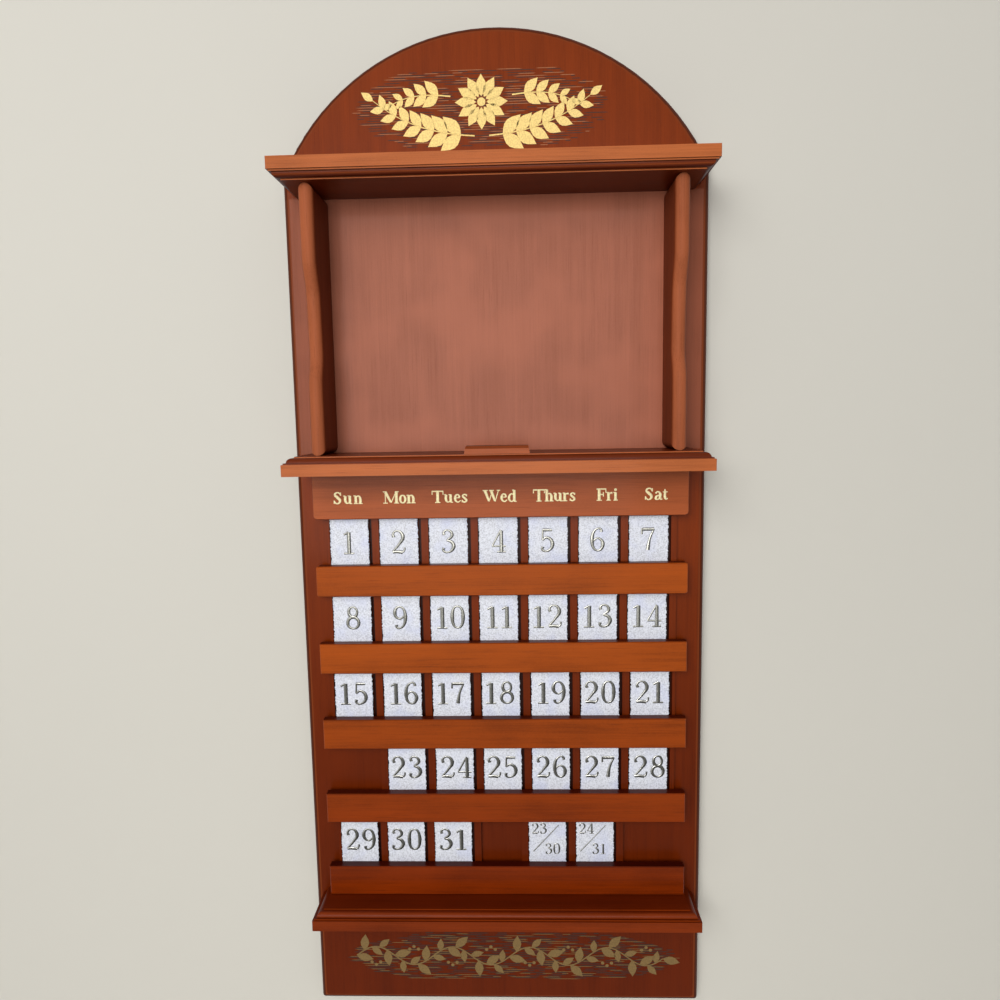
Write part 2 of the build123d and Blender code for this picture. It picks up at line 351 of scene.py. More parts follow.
def moulding_bands(node, upward):
    """Painted shade in a shelf's moulding: in its quarter round and in the crease."""
    low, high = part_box(node)
    flat, away = (high.z, -MM) if upward else (low.z, MM)
    return [(*sorted((flat + away * start, flat + away * end)), 0.15 * MM, factor)
            for start, end, factor in (UPWARD_SHADE if upward else DOWNWARD_SHADE)]


def gap_shadows(finish):
    """1 on the board in the narrow gaps beside the tiles, where painted shade darkens it."""
    across, height = finish.axis("X"), finish.axis("Z")
    shadows = 0.0
    for first, last, places in TILE_RUNS:
        low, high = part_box(first)
        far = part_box(last)[1]
        middle, half = (low.x + high.x) / 2, (high.x - low.x) / 2
        pitch = (far.x - high.x) / places
        offset = across.math("WRAP", across - middle, pitch / 2, -pitch / 2)
        beside = finish.step(offset.size(), half - 0.2 * MM, half + 0.1 * MM)
        inside = (between(finish, across, low.x - 1.2 * MM, far.x + 2.1 * MM, 0.1 * MM)
                  * between(finish, height, low.z, high.z + 2 * MM, 0.5 * MM))
        shadows = shadows + beside * inside
    return shadows


def board_wood(wood):
    """The board's veneer: upright grain, a paler alcove as a painted sheen, painted shade beside the
    side panels and in the gaps beside the tiles, a dark routed edge with painted shade in its step
    and a painted highlight along its ledge, and a plain back.
    """
    finish = Finish("board_wood")
    veneer, fibre, pores = wood_colour(finish, wood.board, wood.board_low, BOARD_SHADE_FADE, "Z", 0.0)
    # Paler colour between the shelves: a painted sheen, with random warm patches.
    pale, _, _ = wood_colour(finish, wood.alcove, wood.alcove, BOARD_SHADE_FADE, "Z", 5.0, 0.8)
    alcove_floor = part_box("mid_shelf")[1].z
    alcove_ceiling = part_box("top_shelf")[0].z
    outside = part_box("side_panel_right")[1].x
    beside = finish.step(finish.axis("X").size(), outside - 1 * MM, outside + 1 * MM)
    patch = finish.grain(55 * MM, 2.0, 0.5, 9.0)
    pale = finish.mix(0.55 * finish.step(patch, 0.44, 0.66), pale, paint(wood.alcove, 1.03))
    # Painted shade: the board beside the side panels is darker.
    pale = darker_where(finish, beside, pale, 0.74)
    alcove = between(finish, finish.axis("Z"), alcove_floor, alcove_ceiling, 2 * MM)
    body = finish.mix(alcove, veneer, pale)
    varnish(finish, fibre, pores)
    # Painted shade in the gaps beside the tiles.
    body = finish.mix(0.9 * gap_shadows(finish), body, paint(GAP_SHADE))
    depth = finish.axis("Y")
    # Painted shade in the routed step: everything behind the board's face is darker.
    routed = finish.step(depth, 0.1 * MM - BOARD_FACE, 0.3 * MM - BOARD_FACE)
    body = darker_where(finish, routed, body, 0.5)
    outside_ledge = finish.step(depth, LEDGE + 0.05 * MM, LEDGE + 0.2 * MM)
    body = finish.mix(0.7 * outside_ledge, body, paint(EDGE_ROUND_BROWN))
    # Painted highlight: a line along the ledge of the routed edge.
    ledge = between(finish, depth, LEDGE - 0.03 * MM, LEDGE + 0.03 * MM, 0.02 * MM)
    line = ledge * finish.facing("Y", -0.9, -0.98)
    body = finish.mix(0.8 * line, body, paint(LEDGE_HIGHLIGHT))
    finish.set(Base_Color=finish.mix(finish.facing("Y", 0.5, 0.9), body, veneer))
    return finish.material


def tile_ground(tiles):
    """White cast metal with a stippled, faintly blue ground."""
    finish = Finish("tile_ground")
    grain = finish.grain(0.9 * MM, 3.0, 0.65)
    cloud = finish.grain(16 * MM, 2.0, 0.5, 2.0)
    speck = finish.step(grain, 0.32, 0.6)
    ground = finish.mix(speck, paint(tiles.ground, 0.84), paint(tiles.ground, 1.02))
    bluish = finish.step(cloud, 0.42, 0.75)
    cool = paint((tiles.ground[0] * 0.88, tiles.ground[1] * 0.9, tiles.ground[2]))
    finish.set(Base_Color=finish.mix(0.45 * bluish, ground, cool), Roughness=0.42 + 0.2 * grain,
               Metallic=0.1, Normal=finish.bump(grain, 0.45, 0.12 * MM))
    return finish.material


def tile_edge(tiles):
    """Edge of a tile, painted dark as shade, near black in noisy patches that stand for nicks."""
    finish = Finish("tile_edge")
    grain = finish.grain(0.9 * MM, 3.0, 0.6)
    nick = finish.step(grain, 0.38, 0.52)
    # Painted shade: the edge is dull and dark, near black in the nicks.
    dull, dark = paint(tiles.ground, 0.5), paint((0.1, 0.09, 0.09))
    finish.set(Base_Color=finish.mix(nick, dull, dark), Roughness=0.5, Metallic=0.3,
               Normal=finish.bump(grain, 0.5, 0.1 * MM))
    return finish.material


def numeral_metal(tiles):
    """Polished numeral, pale on its crown, with painted shade on its lower right flanks and in the
    lower rows, a painted highlight on its upper left flanks, and patina and painted shade round its
    foot.
    """
    finish = Finish("numeral_metal")
    right, front, up = (finish.normal(letter) for letter in "XYZ")
    grain = finish.grain(1.5 * MM, 3.0, 0.6)
    lean = 0.62 * right - 0.78 * up + 0.5 * (grain - 0.5)
    # Painted shade on the lower right flanks.
    patina = finish.step(lean, 0.0, 0.3)
    # Patina and painted shade on the flanks round the numeral's foot.
    foot = finish.step(front, -0.85, -0.5)
    # Painted shade: the crowns are darker in the lower rows.
    lower_row_shade = finish.step(finish.axis("Z"), 0.0, -0.14)
    crown = finish.mix(lower_row_shade, paint(tiles.numeral), paint(tiles.numeral, 0.62))
    # Painted highlight on the upper left flanks.
    body = finish.mix(finish.step(lean, -0.1, -0.4), crown, paint((0.9, 0.9, 0.88)))
    body = finish.mix(0.8 * patina, body, paint(tiles.patina))
    finish.set(Base_Color=finish.mix(0.8 * foot, body, paint(tiles.patina)),
               Roughness=0.2 + 0.15 * grain, Metallic=0.82)
    return finish.material


def print_ink(name, colour, metallic):
    """A printed layer that wears thin in places."""
    finish = Finish(name)
    wear = finish.grain(1.2 * MM, 4.0, 0.65)
    finish.set(Base_Color=finish.mix(finish.step(wear, 0.4, 0.62), paint(colour, 0.94),
                                     paint(colour, 1.05)),
               Roughness=0.45 + 0.2 * wear, Metallic=metallic,
               Normal=finish.bump(wear, 0.3, 0.05 * MM))
    return finish.material


def screw_metal():
    """Zinc plated steel, a little dull."""
    finish = Finish("screw_metal")
    grain = finish.grain(2 * MM, 3.0, 0.6)
    finish.set(Base_Color=finish.mix(grain, paint((0.55, 0.53, 0.5)), paint((0.72, 0.7, 0.66))),
               Roughness=0.3 + 0.2 * grain, Metallic=0.9)
    return finish.material


# ---- modelling helpers ----

def join(parts, name):
    """Joins parts into one piece with its place in its mesh."""
    bpy.ops.object.select_all(action="DESELECT")
    for part in parts:
        part.select_set(True)
    bpy.context.view_layer.objects.active = parts[0]
    bpy.ops.object.join()
    bpy.ops.object.transform_apply()
    parts[0].name = name
    return parts[0]


def close_mesh():
    """Turns the faces of the mesh being edited outward, and ends its editing."""
    bpy.ops.mesh.select_all(action="SELECT")
    bpy.ops.mesh.normals_make_consistent()
    bpy.ops.object.mode_set(mode="OBJECT")


def copy_of(master, matrix):
    """A copy with its own mesh, moved by a matrix."""
    piece = master.copy()
    piece.data = master.data.copy()
    bpy.context.scene.collection.objects.link(piece)
    piece.matrix_world = matrix
    return piece


def remove(pieces):
    for piece in pieces:
        bpy.data.objects.remove(piece)


def on_front(x, height, depth, turn=0.0, size=1.0):
    """Matrix that puts a shape drawn in the XZ plane on the front: x and height over the foot."""
    place = Matrix.Translation((x, -depth, FOOT + height))
    return place @ Matrix.Rotation(-turn, 4, "Y") @ Matrix.Scale(size, 4)


# ---- strokes: numerals and letters ----

THIN, MEDIUM, STOUT, THICK = 0.040, 0.055, 0.071, 0.086  # half widths of numeral strokes
BALL = 0.070  # the ball that ends some numerals
HAIR, SLIM, FULL, HEAVY = 0.042, 0.058, 0.094, 0.118  # half widths of letter strokes
CAPITAL = 0.130  # the main stroke of a capital
STROKE_FOOT = 0.03  # where an upright stroke starts


def bar(left, right, height, half_width=HAIR):
    """A level stroke, such as a serif."""
    return "line", (left, height, half_width), (right, height, half_width)


def post(across, top, half_width):
    """An upright stroke from the foot of the line."""
    return "line", (across, STROKE_FOOT, half_width), (across, top, half_width)


def arched(top):
    """The letters h and n, which differ in how high their stem rises."""
    return (0.8, post(0.22, top, HEAVY),
            ("curve", (0.27, 0.52, HAIR), (0.42, 0.66, SLIM), (0.58, 0.48, HEAVY),
             (0.58, STROKE_FOOT, HEAVY)),
            bar(0.04, 0.22, top - 0.01), bar(0.04, 0.39, STROKE_FOOT), bar(0.43, 0.77, STROKE_FOOT))


# Each glyph: its width, then its strokes. A stroke is "line", "curve" or "loop" and its points
# (across, up, half width), in heights of a capital.
GLYPHS = {
    "0": (0.6, ("loop", (0.3, 0.97, THIN), (0.53, 0.5, THICK), (0.3, 0.03, THIN),
                (0.07, 0.5, THICK))),
    "1": (0.48, post(0.26, 0.93, THICK), ("line", (0.26, 0.93, MEDIUM), (0.05, 0.82, THIN)),
          bar(0.03, 0.47, 0.03, THIN)),
    "2": (0.6, ("curve", (0.13, 0.7, BALL), (0.09, 0.82, MEDIUM), (0.29, 0.97, THIN),
                (0.51, 0.73, THICK), (0.34, 0.4, MEDIUM), (0.06, 0.08, THIN)),
          ("curve", (0.06, 0.06, MEDIUM), (0.24, 0.08, STOUT), (0.48, 0.05, STOUT)),
          ("curve", (0.49, 0.06, MEDIUM), (0.56, 0.14, THIN), (0.58, 0.26, THIN))),
    "3": (0.6, ("curve", (0.14, 0.77, BALL), (0.11, 0.86, MEDIUM), (0.28, 0.97, THIN),
                (0.47, 0.77, STOUT), (0.24, 0.54, THIN)),
          ("curve", (0.24, 0.54, THIN), (0.45, 0.46, STOUT), (0.52, 0.26, THICK),
           (0.27, 0.03, THIN), (0.08, 0.13, MEDIUM), (0.12, 0.22, BALL))),
    "4": (0.62, ("line", (0.42, 0.03, THICK), (0.42, 0.92, STOUT)),
          ("line", (0.41, 0.96, THIN), (0.04, 0.28, THIN)), bar(0.03, 0.61, 0.27, THIN),
          bar(0.24, 0.6, 0.03, THIN)),
    "5": (0.6, ("line", (0.12, 0.93, STOUT), (0.5, 0.92, MEDIUM)),
          ("line", (0.12, 0.94, THIN), (0.1, 0.5, THIN)),
          ("curve", (0.1, 0.5, THIN), (0.29, 0.61, MEDIUM), (0.52, 0.33, THICK), (0.27, 0.03, THIN),
           (0.08, 0.13, MEDIUM), (0.12, 0.22, BALL))),
    "6": (0.6, ("curve", (0.47, 0.82, BALL), (0.46, 0.91, MEDIUM), (0.33, 0.97, THIN),
                (0.08, 0.5, THICK), (0.31, 0.03, THIN), (0.53, 0.29, THICK), (0.33, 0.56, THIN),
                (0.12, 0.42, THIN))),
    "7": (0.58, bar(0.07, 0.54, 0.91, STOUT), ("line", (0.05, 0.95, THIN), (0.04, 0.7, THIN)),
          ("curve", (0.54, 0.91, THIN), (0.37, 0.52, MEDIUM), (0.28, 0.04, THICK))),
    "8": (0.64, ("loop", (0.32, 0.97, THIN), (0.5, 0.76, MEDIUM), (0.32, 0.53, STOUT),
                 (0.14, 0.76, STOUT)),
          ("loop", (0.32, 0.53, STOUT), (0.56, 0.27, STOUT), (0.32, 0.03, THIN),
           (0.08, 0.27, STOUT))),
    "9": (0.6, ("curve", (0.13, 0.18, BALL), (0.14, 0.09, MEDIUM), (0.27, 0.03, THIN),
                (0.52, 0.5, THICK), (0.29, 0.97, THIN), (0.07, 0.71, THICK), (0.27, 0.44, THIN),
                (0.48, 0.58, THIN))),
    "S": (0.8, ("curve", (0.66, 0.72, HAIR), (0.56, 0.91, SLIM), (0.37, 0.955, SLIM),
                (0.19, 0.79, FULL), (0.39, 0.56, CAPITAL), (0.6, 0.27, HEAVY), (0.41, 0.045, SLIM),
                (0.22, 0.1, SLIM), (0.12, 0.29, HAIR)),
          ("line", (0.67, 0.97, HAIR), (0.67, 0.7, HAIR)), post(0.11, 0.31, HAIR)),
    "M": (1.38, post(0.22, 0.95, HAIR), ("line", (0.25, 0.93, CAPITAL), (0.67, 0.1, FULL)),
          ("line", (0.69, 0.06, HAIR), (1.1, 0.93, HAIR)), post(1.14, 0.97, CAPITAL),
          bar(0.03, 0.34, 0.97), bar(1.04, 1.35, 0.97), bar(0.04, 0.41, 0.03),
          bar(0.93, 1.35, 0.03)),
    "T": (0.98, post(0.49, 0.97, CAPITAL), bar(0.04, 0.94, 0.955, SLIM),
          ("line", (0.045, 1.0, HAIR), (0.035, 0.68, HAIR)),
          ("line", (0.935, 1.0, HAIR), (0.945, 0.68, HAIR)), bar(0.27, 0.71, 0.03)),
    "W": (1.44, ("line", (0.19, 0.95, CAPITAL), (0.5, 0.1, FULL)),
          ("line", (0.51, 0.05, HAIR), (0.77, 0.84, HAIR)),
          ("line", (0.69, 0.95, CAPITAL), (1.0, 0.1, FULL)),
          ("line", (1.01, 0.05, HAIR), (1.29, 0.95, HAIR)), bar(0.0, 0.4, 0.97),
          bar(0.52, 0.92, 0.97), bar(1.15, 1.44, 0.97)),
    "F": (0.86, post(0.26, 0.97, CAPITAL), bar(0.05, 0.8, 0.955, SLIM),
          ("line", (0.8, 1.0, HAIR), (0.81, 0.66, HAIR)), bar(0.3, 0.6, 0.51, SLIM),
          ("line", (0.6, 0.7, HAIR), (0.6, 0.33, HAIR)), bar(0.05, 0.49, 0.03)),
    "a": (0.7, ("curve", (0.17, 0.53, FULL), (0.21, 0.62, SLIM), (0.36, 0.67, SLIM),
                (0.52, 0.5, HEAVY), (0.52, 0.14, HEAVY), (0.6, 0.05, SLIM), (0.69, 0.09, HAIR)),
          ("curve", (0.48, 0.41, HAIR), (0.22, 0.28, FULL), (0.18, 0.12, HEAVY), (0.3, 0.045, SLIM),
           (0.5, 0.15, HAIR))),
    "d": (0.8, ("curve", (0.53, 0.6, SLIM), (0.36, 0.665, SLIM), (0.15, 0.34, HEAVY),
                (0.34, 0.035, SLIM), (0.53, 0.12, SLIM)), post(0.59, 0.98, HEAVY),
          bar(0.42, 0.6, 0.97), bar(0.59, 0.78, 0.03)),
    "e": (0.64, bar(0.18, 0.54, 0.4),
          ("curve", (0.53, 0.42, FULL), (0.35, 0.67, SLIM), (0.14, 0.35, HEAVY), (0.36, 0.04, SLIM),
           (0.6, 0.18, HAIR))),
    "h": arched(0.98),
    "i": (0.42, post(0.21, 0.68, HEAVY),
          ("loop", (0.21, 0.94, STOUT), (0.26, 0.89, STOUT), (0.21, 0.84, STOUT),
           (0.16, 0.89, STOUT)), bar(0.04, 0.21, 0.67), bar(0.04, 0.39, 0.03)),
    "n": arched(0.68),
    "o": (0.72, ("loop", (0.36, 0.665, SLIM), (0.57, 0.35, HEAVY), (0.36, 0.035, SLIM),
                 (0.15, 0.35, HEAVY))),
    "r": (0.64, post(0.22, 0.68, HEAVY),
          ("curve", (0.28, 0.5, HAIR), (0.41, 0.64, SLIM), (0.53, 0.6, FULL)),
          bar(0.04, 0.22, 0.67), bar(0.04, 0.42, 0.03)),
    "s": (0.56, ("curve", (0.45, 0.51, HAIR), (0.38, 0.64, SLIM), (0.26, 0.67, SLIM),
                 (0.14, 0.54, FULL), (0.29, 0.36, FULL), (0.44, 0.17, FULL), (0.28, 0.035, SLIM),
                 (0.16, 0.07, SLIM), (0.09, 0.21, HAIR)),
          ("line", (0.46, 0.68, HAIR), (0.46, 0.5, HAIR)),
          ("line", (0.08, 0.02, HAIR), (0.08, 0.22, HAIR))),
    "t": (0.48, ("curve", (0.22, 0.88, HAIR), (0.23, 0.66, FULL), (0.23, 0.2, HEAVY),
                 (0.32, 0.055, SLIM), (0.45, 0.13, HAIR)), bar(0.04, 0.44, 0.65)),
    "u": (0.8, ("curve", (0.21, 0.66, HEAVY), (0.21, 0.22, HEAVY), (0.34, 0.06, SLIM),
                (0.54, 0.15, HAIR)), post(0.58, 0.68, HEAVY), bar(0.03, 0.21, 0.67),
          bar(0.41, 0.58, 0.67), bar(0.58, 0.77, 0.03)),
}


def stroke(kind, points, fine):
    """A tube through the points in the XZ plane, as thick as they say, one unit per height."""
    bpy.ops.curve.primitive_bezier_curve_add(location=(0, 0, 0))
    tube = bpy.context.object
    tube.data.dimensions = "3D"
    tube.data.resolution_u = fine
    tube.data.bevel_depth = 1.0
    tube.data.bevel_resolution = 2
    tube.data.use_fill_caps = True
    spline = tube.data.splines[0]
    spline.bezier_points.add(len(points) - 2)
    handle = "VECTOR" if kind == "line" else "AUTO"
    for knot, (across, up, half_width) in zip(spline.bezier_points, points):
        knot.co = (across, 0.0, up)
        knot.radius = half_width
        knot.handle_left_type = handle
        knot.handle_right_type = handle
    spline.use_cyclic_u = kind == "loop"
    if kind == "line":
        spline.resolution_u = 1
    bpy.ops.object.convert(target="MESH")
    return tube


def glyph_masters(characters, fine):
    """One flat relief for each character, a unit high, in the XZ plane."""
    masters = {}
    for character in characters:
        tubes = [stroke(kind, points, fine) for kind, *points in GLYPHS[character][1:]]
        masters[character] = join(tubes, f"glyph_{character}")
    return masters


def text_width(text, gap):
    return sum(GLYPHS[character][0] for character in text) + gap * (len(text) - 1)


def write(masters, text, gap, left, height, depth, size, flatness):
    """Copies of the glyphs in a row, from a left edge and a foot, size high."""
    made = []
    flat = Matrix.Diagonal((1.0, flatness, 1.0, 1.0))
    for character in text:
        made.append(copy_of(masters[character], on_front(left, height, depth, 0.0, size) @ flat))
        left += (GLYPHS[character][0] + gap) * size
    return made


# ---- date tiles ----

BLANK_COUNT = 4  # plates with ragged edges of their own
STIPPLE_DEPTH = 0.04 * MM
EDGE_STEPS = ((0.35, 1.0), (0.65, 0.7))  # shares of a plate's thickness and of its raggedness
NUMERAL_RELIEF = 0.36  # height over thickness of a stroke
NUMERAL_GAP = 0.13  # in heights of a numeral
FIRST_ROW_DROP = 1.4 * MM  # the dates 1 to 7 sit this much lower
SMALL_NUMERAL, SMALL_GAP = 8.7 * MM, 0.1
SMALL_PLACES = ((-11.6 * MM, 25.3 * MM), (-1.6 * MM, 9.0 * MM))  # from a tile's middle and foot
SLASH_PLACE, SLASH_HEIGHT = (-10.5 * MM, 11.2 * MM), 21.0 * MM


def tile_blank(tiles, width, height, thick, seed):
    """Stippled plate with ragged edges, standing on the origin with its face to -Y."""
    bpy.ops.mesh.primitive_grid_add(x_subdivisions=round(width / tiles.cell),
                                    y_subdivisions=round(height / tiles.cell), size=1.0,
                                    location=(0, -thick / 2, height / 2),
                                    rotation=(math.pi / 2, 0, 0))
    blank = bpy.context.object
    blank.scale = (width - tiles.raggedness, height - tiles.raggedness, 1.0)
    bpy.ops.object.transform_apply()
    bpy.ops.object.mode_set(mode="EDIT")
    bpy.ops.mesh.select_all(action="SELECT")
    bpy.ops.transform.vertex_random(offset=STIPPLE_DEPTH, normal=1.0, seed=seed)
    bpy.ops.mesh.region_to_loop()
    for number, (share, nicks) in enumerate(EDGE_STEPS):
        bpy.ops.transform.vertex_random(offset=tiles.raggedness * nicks, uniform=1.0,
                                        seed=seed + 1 + number)
        bpy.ops.mesh.extrude_region_move(TRANSFORM_OT_translate={"value": (0, thick * share, 0)})
    bpy.ops.mesh.edge_face_add()
    close_mesh()
    return blank


def numeral_parts(tiles, masters, node, depth, centre, foot):
    """The raised numerals of a tile: one large number, or two small ones parted by a slash."""
    numbers = [int(number) for number in node.removeprefix("tile_").split("_")]
    if len(numbers) == 1:
        text, size = str(numbers[0]), tiles.numeral_height
        left = centre - text_width(text, NUMERAL_GAP) * size / 2
        base = foot + tiles.numeral_base - (FIRST_ROW_DROP if numbers[0] < 8 else 0.0)
        return write(masters, text, NUMERAL_GAP, left, base, depth, size, NUMERAL_RELIEF)
    parts = []
    for number, (left, base) in zip(numbers, SMALL_PLACES):
        parts += write(masters, str(number), SMALL_GAP, centre + left, foot + base, depth,
                       SMALL_NUMERAL, NUMERAL_RELIEF)
    slash = stroke("line", [(0.0, 0.0, 0.02), (0.91, 1.0, 0.02)], 1)
    left, base = SLASH_PLACE
    slash.matrix_world = (on_front(centre + left, foot + base, depth, 0.0, SLASH_HEIGHT)
                          @ Matrix.Diagonal((1.0, 0.5, 1.0, 1.0)))
    return parts + [slash]


class CALENDAR_OT_date_tiles(bpy.types.Operator):
    """Stippled tiles with ragged edges and raised, polished numerals"""
    bl_idname = "calendar.date_tiles"
    bl_label = "Date tiles"

    def execute(self, context):
        tiles = context.scene.calendar_tiles
        ground, edge, metal = tile_ground(tiles), tile_edge(tiles), numeral_metal(tiles)
        masters = glyph_masters("0123456789", 5)
        low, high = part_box(TILE_NODES[0])
        size = high - low
        blanks = [tile_blank(tiles, size.x, size.z, size.y, 10 * number)
                  for number in range(BLANK_COUNT)]
        for blank in blanks:
            blank.data.materials.append(ground)
            blank.data.materials.append(edge)
            for face in blank.data.polygons:
                face.material_index = 0 if face.normal.y < -0.6 else 1
        for master in masters.values():
            master.data.materials.append(metal)
            master.data.polygons.foreach_set("use_smooth", [True] * len(master.data.polygons))
        chance = random.Random(31)
        for number, node in enumerate(TILE_NODES):
            low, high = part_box(node)
            centre = (low.x + high.x) / 2
            matrix = Matrix.Translation((centre, (low.y + high.y) / 2, low.z))
            plate = copy_of(blanks[number % BLANK_COUNT], matrix)
            shift = chance.uniform(-0.9, 0.9) * MM
            parts = numeral_parts(tiles, masters, node, -low.y, centre + shift, low.z - FOOT)
            for part in parts:
                if not part.data.materials:
                    part.data.materials.append(metal)
            piece = join([plate] + parts, f"date_{node}")
            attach(piece, node)
            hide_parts(node)
        remove([*blanks, *masters.values()])
        return {"FINISHED"}


# ---- weekday lettering ----

class CALENDAR_OT_weekdays(bpy.types.Operator):
    """Printed weekday names on the header strip"""
    bl_idname = "calendar.weekdays"
    bl_label = "Weekday names"

    def execute(self, context):
        printing = context.scene.calendar_print
        cream = print_ink("cream_print", printing.cream, 0.35)
        masters = glyph_masters(sorted(set("".join(WEEKDAYS))), 4)
        depth = -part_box("header_strip")[0].y
        size = printing.cap_height
        flatness = printing.thickness / (HEAVY * size)
        for word, (left, right) in WEEKDAYS.items():
            loose = (right - left) * MM / size - text_width(word, 0.0)
            parts = write(masters, word, loose / (len(word) - 1), left * MM, printing.baseline,
                          depth, size, flatness)
            piece = join(parts, f"weekday_{word}")
            piece.data.materials.append(cream)
            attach(piece, CASE)
        remove(masters.values())
        return {"FINISHED"}


# ---- gold print ----

# How unevenly the hatching is drawn, each from and to, in millimetres.
HATCH_START, HATCH_LENGTH, HATCH_OVERRUN, HATCH_GAP = (0, 9), (5, 26), (-4, 4), (1.5, 9)
SHORTEST_HATCH = 3 * MM


def flat_master(vertices, thickness, outline):
    """A flat shape one unit long in the XZ plane; outline gives its half height along it."""
    bpy.ops.mesh.primitive_circle_add(vertices=vertices, radius=0.5, fill_type="NGON",
                                      location=(0.5, 0, 0), rotation=(math.pi / 2, 0, 0))
    shape = bpy.context.object
    bpy.ops.object.transform_apply()
    for vertex in shape.data.vertices:
        vertex.co.z = math.copysign(outline(vertex.co.x), vertex.co.z)
    bpy.ops.object.mode_set(mode="EDIT")
    bpy.ops.mesh.select_all(action="SELECT")
    bpy.ops.mesh.remove_doubles()
    bpy.ops.mesh.extrude_region_move(TRANSFORM_OT_translate={"value": (0, thickness, 0)})
    close_mesh()
    return shape


def leaf_outline(along):
    """Half height of a pointed leaf, fullest nearer its stalk."""
    return 0.25 * max(0.0, math.sin(math.pi * min(1.0, along) ** 0.9)) ** 1.15


def dot_outline(along):
    return math.sqrt(max(0.0, along * (1 - along)))


def hatch_outline(along):
    return 0.5 if 0.02 < along < 0.98 else 0.0


def laid(master, x, height, depth, turn, length, width):
    """A copy of a flat shape on the board, from a point along a direction."""
    size = Matrix.Diagonal((length, 1.0, width, 1.0))
    return copy_of(master, on_front(x, height, depth, turn) @ size)


def walk(x, height, heading, turns, stride):
    """Points along a line that changes its heading by each of the turns, which are in degrees."""
    points = [(x, height, heading)]
    for turn in turns:
        heading += math.radians(turn)
        x += stride * math.cos(heading)
        height += stride * math.sin(heading)
        points.append((x, height, heading))
    return points


def stem(points, depth, thickness, root, tip):
    """A flat stem along the points, from its half width at the root to that at the tip."""
    count = len(points) - 1
    knots = [(x / MM, height / MM, (root + (tip - root) * number / count) / MM)
             for number, (x, height, _) in enumerate(points)]
    tube = stroke("curve", knots, 3)
    tube.matrix_world = (Matrix.Translation((0, -depth, FOOT)) @ Matrix.Scale(MM, 4)
                         @ Matrix.Diagonal((1.0, thickness / root, 1.0, 1.0)))
    return tube


def leafy_stem(leaf, points, depth, thickness, sizes, spread):
    """A stem with a pair of leaves at each of its points and one at its tip."""
    parts = [stem(points, depth, thickness, 0.55 * MM, 0.25 * MM)]
    first, last = sizes
    for number, (x, height, heading) in enumerate(points[1:-1]):
        size = first + (last - first) * number / (len(points) - 3)
        for side in (-1, 1):
            parts.append(laid(leaf, x, height, depth, heading + side * spread, size, size))
    x, height, heading = points[-1]
    parts.append(laid(leaf, x, height, depth, heading, last, last))
    return parts


def hatching(master, chance, rows, reach, depth, keep, weight):
    """Fine level lines of uneven length; keep says which of them are laid."""
    parts = []
    low, high, pitch = rows
    for number in range(round((high - low) / pitch)):
        height = low + number * pitch
        left, right = reach(height)
        x = left + chance.uniform(*HATCH_START) * MM
        while x < right:
            length = chance.uniform(*HATCH_LENGTH) * MM
            end = min(x + length, right + chance.uniform(*HATCH_OVERRUN) * MM)
            if end - x > SHORTEST_HATCH and chance.random() < keep:
                parts.append(laid(master, x, height, depth, 0.0, end - x, weight))
            x = end + chance.uniform(*HATCH_GAP) * MM
    return parts


def finish_print(parts, name, material):
    piece = join(parts, name)
    piece.data.materials.append(material)
    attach(piece, CASE)


